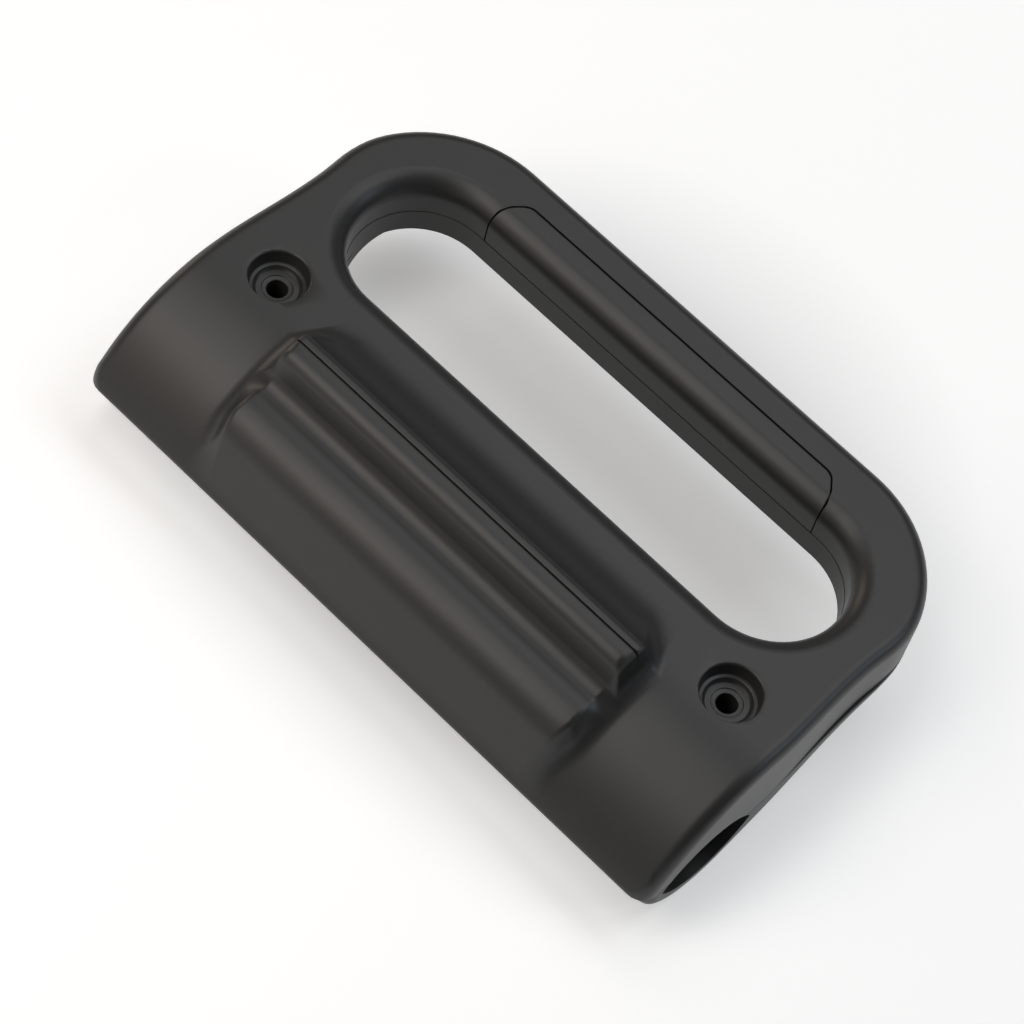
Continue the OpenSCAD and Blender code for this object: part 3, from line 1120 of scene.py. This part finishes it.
@dataclass
class LowerShell:
    """Lower moulding: belly round the tunnel, slope, grip floor, slot wall and bosses."""

    upper: UpperShell = field(default_factory=UpperShell)
    belly_y: float = -18.0
    belly_z: float = -13.0
    belly_r: float = 20.0
    floor_z: float = -15.6
    floor_y: float = 34.0
    side_edge: float = 2.0
    waist_share: float = 0.5
    floor_edge: float = 1.0
    edge_from: float = 14.0
    front_face: float = 0.12
    back_start: float = 0.3
    path_steps: tuple[int, ...] = (40, 24, 24)
    across: int = 12
    outermost: float = 0.999
    round_steps: int = 6
    ring_gap: float = 0.012
    seam_face: float = 0.35
    seam_tuck: float = 0.2
    seam_drop: float = 0.08
    wall_t: float = 2.5
    wall_root: float = 0.5
    hollow_edge: float = 0.5
    hollow_ends: Pair = (1.0, 0.4)
    ledge: float = 0.1
    boss_r: float = 4.4
    boss_z: float = -16.0
    pilot_r: float = 1.6
    pilot_z: float = -24.0
    post_steps: int = 40

    def slope(self) -> float:
        """Angle of the slope behind the belly, in radians."""
        dy, dz = self.floor_y - self.belly_y, self.floor_z - self.belly_z
        return math.atan2(dz, dy) + math.asin(self.belly_r / math.hypot(dy, dz))

    def path(self, drawn_in: float) -> list[Step]:
        """Side view of the underside from the lip to the back.

        Args:
            drawn_in: How far the surface is drawn in, in mm.

        Returns:
            The points, with their outward direction.
        """
        up, radius = self.upper, self.belly_r - drawn_in
        belly, slope, back = self.path_steps
        lip = up.side.lip_z + (self.hollow_ends[0] if drawn_in else -self.front_face)
        first, last = -math.acos((self.belly_z - lip) / radius), self.slope()
        out = []
        for n in range(belly + 1):
            a = first + (last - first) * n / belly
            ny, nz = math.sin(a), -math.cos(a)
            out.append((self.belly_y + radius * ny, self.belly_z + radius * nz, ny, nz))
        start, run = out[-1], math.tan(last)
        end_z = up.seam_z + self.hollow_ends[1] if drawn_in else self.floor_z
        for n in range(1, slope + 1):
            z = start[1] + (end_z - start[1]) * n / slope
            out.append((start[0] + (z - start[1]) / run, z, *start[2:]))
        if not drawn_in:
            reach = up.corner_r - self.floor_edge
            low = math.asin((self.floor_y + self.back_start - up.corner_y) / reach)
            for n in range(back + 1):
                a = low + (math.pi / 2 - low) * n / back
                out.append((up.corner_y + reach * math.sin(a), self.floor_z, 0.0, -1.0))
        return out

    def edge_at(self, y: float, drawn_in: float) -> float:
        """Rounding of the side edge at one place.

        Args:
            y: The place.
            drawn_in: How far the form is drawn in.

        Returns:
            The radius in mm.
        """
        if drawn_in:
            return self.hollow_edge
        share = ramp(y, self.edge_from, self.floor_y)
        return self.side_edge + (self.floor_edge - self.side_edge) * share

    def outline(self, y: float, edge: float, drawn_in: float) -> Step:
        """Plan outline on the right side that belongs to a row.

        Args:
            y: Place of the row.
            edge: Rounding of the edge there.
            drawn_in: How far the outline is drawn in.

        Returns:
            The outline's x and y and its outward direction.
        """
        up = self.upper
        turn = up.side.lip_y + up.lip_corner_r
        if y < turn:
            reach = math.sqrt(max(0.0, up.lip_corner_r**2 - (turn - y) ** 2))
            return up.half - up.lip_corner_r + reach - drawn_in, y, 1.0, 0.0
        if y <= up.corner_y:
            return up.half - self.waist_share * up.pinch(y) - drawn_in, y, 1.0, 0.0
        a = math.asin(min(1.0, (y - up.corner_y) / (up.corner_r - edge - drawn_in)))
        nx, ny = math.cos(a), math.sin(a)
        out_y = up.corner_y + (up.corner_r - drawn_in) * ny
        x = up.half - up.corner_r + (up.corner_r - drawn_in) * nx
        return x - self.waist_share * up.pinch(out_y), out_y, nx, ny

    def form(self, name: str, drawn_in: float) -> Object:
        """Builds the outer form, or the form of the hollow, as one closed solid.

        Args:
            name: Name of the object.
            drawn_in: How far the form is drawn in, in mm.

        Returns:
            The new object.
        """
        path, lift = self.path(drawn_in), CLEAR_ABOVE if drawn_in else 0.0

        def skin(share: float, row: int) -> Vector:
            """Place of a point of the underside."""
            return self.skin_point(share, path[row][:2], drawn_in)

        def lid(share: float, row: int) -> Vector:
            """Place of the point over it, at the joint."""
            return at_height(skin(share, row), self.upper.seam_height, lift)

        def ring(share: float, row: int, k: int) -> Vector:
            """Place of a point of the edge and the wall."""
            return self.rim_point((share, row), path, k, drawn_in, lift)

        size, rings = (2 * self.across, len(path) - 1), self.round_steps + 3
        bm = closed_sheet(size, skin, lid, ring, rings)
        bmesh.ops.remove_doubles(bm, verts=bm.verts, dist=2 * SAME)
        return finish_object(bm, name)

    def skin_point(self, share: float, at: Pair, drawn_in: float) -> Vector:
        """Place of one point of the underside.

        Args:
            share: Its share across, -1 to 1.
            at: Its place in the side view as (y, z).
            drawn_in: How far the form is drawn in.

        Returns:
            The place in metres.
        """
        y, z = at
        edge = self.edge_at(y, drawn_in)
        ox, _, nx, _ = self.outline(y, edge, drawn_in)
        return spot(share * (ox - edge * nx), y, z)

    def rim_point(
        self, where: tuple[float, int], path: Sequence[Step], k: int, drawn_in: float, lift: float
    ) -> Vector:
        """Place of one point of the rounded edge and the upright wall.

        Args:
            where: Share across and row of the point that it grows from.
            path: Side view of the underside.
            k: Number of the ring.
            drawn_in: How far the form is drawn in.
            lift: How far the wall runs past the joint.

        Returns:
            The place in metres.
        """
        share, row = where
        steps = self.round_steps
        y, z, ty, tz = path[row]
        edge = self.edge_at(y, drawn_in)
        side = -1 if share < 0 else 1
        ox, oy, nx, ny = self.outline(y, edge, drawn_in)
        if abs(share) < self.outermost:
            x = abs(share) * (ox - edge * nx)
            edge = edge if row > 0 else 0.0
            ox, oy, nx, ny = x, y + edge, 0.0, 1.0 if row > 0 else 0.0
        a = math.radians(90 * min(k, steps) / steps)
        out, sink = edge * (1 - math.sin(a)), edge * (1 - math.cos(a))
        px, py = ox - nx * out, oy - ny * out
        top = self.upper.seam_height(py) + lift
        if row == 0:
            return spot(side * px, py, z + (top - z) * k / (steps + 4))
        pz = min(z - tz * sink, top - self.ring_gap * (steps + 4 - k))
        py -= ty * sink * (1 - abs(ny))
        if k == steps + 1:
            pz = max(pz, top - self.seam_face)
        if k >= steps + 2:
            tuck = 0.0 if drawn_in else self.seam_tuck
            px, py = px - nx * tuck, py - ny * tuck
            pz = top - (self.seam_drop if k == steps + 2 else 0.0)
        return spot(side * px, py, pz)

    def slot_block(self, grow_r: float, low: float, high: float) -> Object:
        """A slot-shaped block.

        Args:
            grow_r: How far it stands out round the slot, in mm.
            low: Its lower end.
            high: Its upper end.

        Returns:
            The new object.
        """
        bm = bmesh.new()
        stack(bm, [self.upper.slot_ring(grow_r, z) for z in (low, high)])
        return finish_object(bm, "slot_block")

    def posts(self, radius: float, low: float, high: float) -> Object:
        """Two upright posts under the screw wells.

        Args:
            radius: Their radius, in mm.
            low: Their lower end.
            high: Their upper end.

        Returns:
            The new object.
        """
        bm = bmesh.new()
        outline = [(0, low), (radius, low), (radius, high), (0, high)]
        for side in (-1, 1):
            lathe(bm, outline, side * self.upper.well_x, self.post_steps)
        return finish_object(bm, "posts")

    def build(self) -> Object:
        """Builds and dresses the lower shell.

        Returns:
            The finished object.
        """
        hollow = self.form("hollow", self.wall_t)
        grow_r, top = self.upper.collar_t - self.ledge, self.upper.collar_z
        work_in(hollow, self.slot_block(grow_r, FAR_BELOW, top), Cut.TAKE_AWAY)
        work_in(hollow, self.posts(self.boss_r, FAR_BELOW, self.boss_z), Cut.TAKE_AWAY)
        shell = self.form("lower_shell_skin", 0.0)
        work_in(shell, self.slot_block(grow_r, self.floor_z + self.wall_root, top), Cut.ADD)
        work_in(shell, hollow, Cut.TAKE_AWAY)
        work_in(shell, self.slot_block(-self.ledge, FAR_BELOW, CLEAR_ABOVE), Cut.TAKE_AWAY)
        work_in(shell, self.posts(self.pilot_r, self.pilot_z, CLEAR_ABOVE), Cut.TAKE_AWAY)
        work_in(shell, self.upper.tunnel_tool(), Cut.TAKE_AWAY)
        shade(shell.data)
        shell.data.materials.clear()
        shell.data.materials.append(LOWER_FINISH.make())
        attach(shell, "root")
        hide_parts("lower_shell")
        return shell


# ---- studio


@dataclass(frozen=True)
class Softbox:
    """One soft lamp, aimed at the handle."""

    name: str
    towards: Triple
    distance: float
    size: Pair
    power: float
    colour: Triple = (1.0, 1.0, 1.0)

    def build(self) -> None:
        """Hangs the lamp."""
        lamp = bpy.data.lights.new(self.name, "AREA")
        lamp.shape, lamp.size, lamp.size_y = "RECTANGLE", self.size[0], self.size[1]
        lamp.energy, lamp.color = self.power, self.colour
        obj = bpy.data.objects.new(self.name, lamp)
        way = Vector(self.towards).normalized()
        obj.location = way * self.distance + Vector((0, 0, AIM_HEIGHT))
        obj.rotation_euler = way.to_track_quat("Z", "Y").to_euler()
        obj.visible_camera = False
        bpy.context.scene.collection.objects.link(obj)


@dataclass(frozen=True)
class Studio:
    """Floor, background, lamps and camera."""

    lamps: tuple[Softbox, ...] = (
        Softbox("key_left", (-0.265, -0.459, 0.848), 1.2, (0.6, 0.6), 2.3, (1.0, 0.96, 0.92)),
        Softbox("back_right", (0.265, 0.459, 0.848), 1.2, (0.6, 0.6), 2.9, (0.97, 0.98, 1.0)),
        Softbox("back_left", (-0.265, 0.459, 0.848), 1.2, (0.6, 0.6), 1.95),
        Softbox("low_front", (0.0, -0.883, 0.469), 1.2, (0.6, 0.6), 0.7, (0.97, 0.98, 1.0)),
        Softbox("overhead", (-0.271, -0.110, 0.956), 1.2, (0.4, 0.4), 1.6),
        Softbox("near_left", (-0.406, -0.579, 0.707), 0.6, (0.3, 0.3), 0.5, (1.0, 0.93, 0.84)),
        Softbox("wing_left", (-0.146, -0.256, 0.156), 0.333, (0.14, 0.24), 0.09, (1.0, 0.87, 0.74)),
        Softbox("warm_left", (-0.952, 0.134, 0.276), 1.2, (0.35, 0.35), 1.4, (1.0, 0.85, 0.70)),
        Softbox("cool_right", (0.726, 0.472, 0.5), 1.2, (0.3, 0.3), 1.4, (0.72, 0.84, 1.0)),
    )
    world_strength: float = 0.0
    floor_radius: float = 3.0
    floor_rise: float = 0.7
    floor_rings: int = 8
    floor_sides: int = 96
    floor_sharp: float = 60.0
    floor_shade: float = 0.82
    # The floor glows less round the slot and under the handle than further out: this is a painted
    # shadow.
    painted_shadow_glow: float = 0.25
    near_glow: float = 0.43
    painted_shadow_y: float = 0.025
    painted_shadow_span: Pair = (0.04, 0.085)
    far_span: Pair = (0.4, 1.1)
    azimuth: float = 30.544
    elevation: float = 56.934
    roll: float = 16.377
    distance: float = 706.877
    slide: Pair = (2.440, -6.571)
    lens: float = 124.42
    sensor: float = 36.0
    clip: Pair = (0.01, 100.0)

    def camera(self) -> None:
        """Sets up the camera of the photograph's view."""
        az, el, roll = (math.radians(v) for v in (self.azimuth, self.elevation, self.roll))
        back = Vector((math.cos(el) * math.sin(az), -math.cos(el) * math.cos(az), math.sin(el)))
        right = Vector((math.cos(az), math.sin(az), 0.0))
        up = back.cross(right)
        row0 = math.cos(roll) * right + math.sin(roll) * up
        row1 = -math.sin(roll) * right + math.cos(roll) * up
        at = self.slide[0] * row0 + self.slide[1] * row1 + self.distance * back
        data = bpy.data.cameras.new("front_view")
        data.sensor_fit, data.sensor_width, data.lens = "HORIZONTAL", self.sensor, self.lens
        data.clip_start, data.clip_end = self.clip
        obj = bpy.data.objects.new("front_view", data)
        turn = Matrix((row0, row1, back)).transposed().to_4x4()
        obj.matrix_world = Matrix.Translation(spot(*at)) @ turn
        bpy.context.scene.collection.objects.link(obj)
        bpy.context.scene.camera = obj

    def rays(self, bench: Bench, *kinds: str) -> Sig:
        """1 for rays of the given kinds, and 0 for the rest.

        Args:
            bench: Where the nodes are made.
            kinds: Kinds of rays, as the Light Path node names them.

        Returns:
            The share, 0 or 1.
        """
        total: Value = 0.0
        for kind in kinds:
            total = bench.node("LightPath", {}, f"Is {kind} Ray") + total
        return bench.clamp(total)

    def distance_share(self, bench: Bench, centre_y: float, reach: Pair) -> Sig:
        """How far out on the floor a place lies.

        Args:
            bench: Where the nodes are made.
            centre_y: Where the distance starts, on the middle line, in metres.
            reach: The distances where the share is 0 and 1, in metres.

        Returns:
            The share, 0 to 1.
        """
        where = bench.node("TexCoord", {}, "Object")
        ends = {0: where, 1: (0.0, centre_y, 0.0)}
        away = bench.node("VectorMath", ends, "Value", operation="DISTANCE")
        return bench.clamp((away - reach[0]) * (1 / (reach[1] - reach[0])))

    def bowl(self) -> BMesh:
        """A flat round floor that rises in a low curve all round.

        Returns:
            The mesh.
        """
        bm = bmesh.new()
        shape = {"segments": self.floor_sides, "radius": self.floor_radius}
        bmesh.ops.create_circle(bm, cap_ends=True, **shape)
        rim, home = bm.edges[:], {v: v for v in bm.verts}
        for n in range(1, self.floor_rings + 1):
            a = math.radians(90 * n / self.floor_rings)
            reach = self.floor_radius + self.floor_rise * math.sin(a)
            rim, home = grow(bm, rim, home)
            for v in home:
                flat = Vector((v.co.x, v.co.y, 0.0)).normalized() * reach
                v.co = Vector((flat.x, flat.y, self.floor_rise * (1 - math.cos(a))))
        return bm

    def floor(self) -> None:
        """Lays the plain pale floor, which is white where it is seen far from the handle and glows
        less round the slot, which is a painted shadow.
        """
        obj = finish_object(self.bowl(), "floor", self.floor_sharp)
        bench = Bench("pale_floor")
        # Painted shadow: the floor's glow is lower near the slot and rises further out.
        out = self.distance_share(bench, self.painted_shadow_y, self.painted_shadow_span)
        near = bench.blend(out, grey(self.painted_shadow_glow), grey(self.near_glow))
        far = self.distance_share(bench, 0.0, self.far_span) * self.rays(bench, "Camera")
        glow = bench.node("Emission", {"Color": bench.blend(far, near, grey(1.0)), "Strength": 1.0})
        cloth = bench.node("BsdfDiffuse", {"Color": grey(self.floor_shade)})
        both = bench.node("AddShader", {0: cloth, 1: glow})
        seen = self.rays(bench, "Camera", "Glossy", "Transmission")
        mixed = bench.node("MixShader", {0: seen, 1: cloth, 2: both})
        obj.data.materials.append(bench.finish(mixed))

    def sky(self) -> None:
        """Sets the even light of the room, which is none: the lamps and the floor do it all."""
        world = bpy.data.worlds.new("studio")
        world.use_nodes = True
        room = world.node_tree.nodes["Background"]
        room.inputs["Strength"].default_value = self.world_strength
        bpy.context.scene.world = world

    def build(self) -> None:
        """Sets up the whole studio."""
        self.camera()
        self.floor()
        self.sky()
        for lamp in self.lamps:
            lamp.build()
        bpy.context.scene.view_settings.view_transform = "Standard"


def main() -> None:
    """Builds the handle and its studio."""
    logging.basicConfig(level=logging.INFO, format="%(message)s")
    Studio().build()
    for part in (UpperShell(), LowerShell(), GripStrip()):
        made = part.build()
        LOG.info("%s: %d faces", made.name, len(made.data.polygons))


if __name__ == "__main__":
    main()
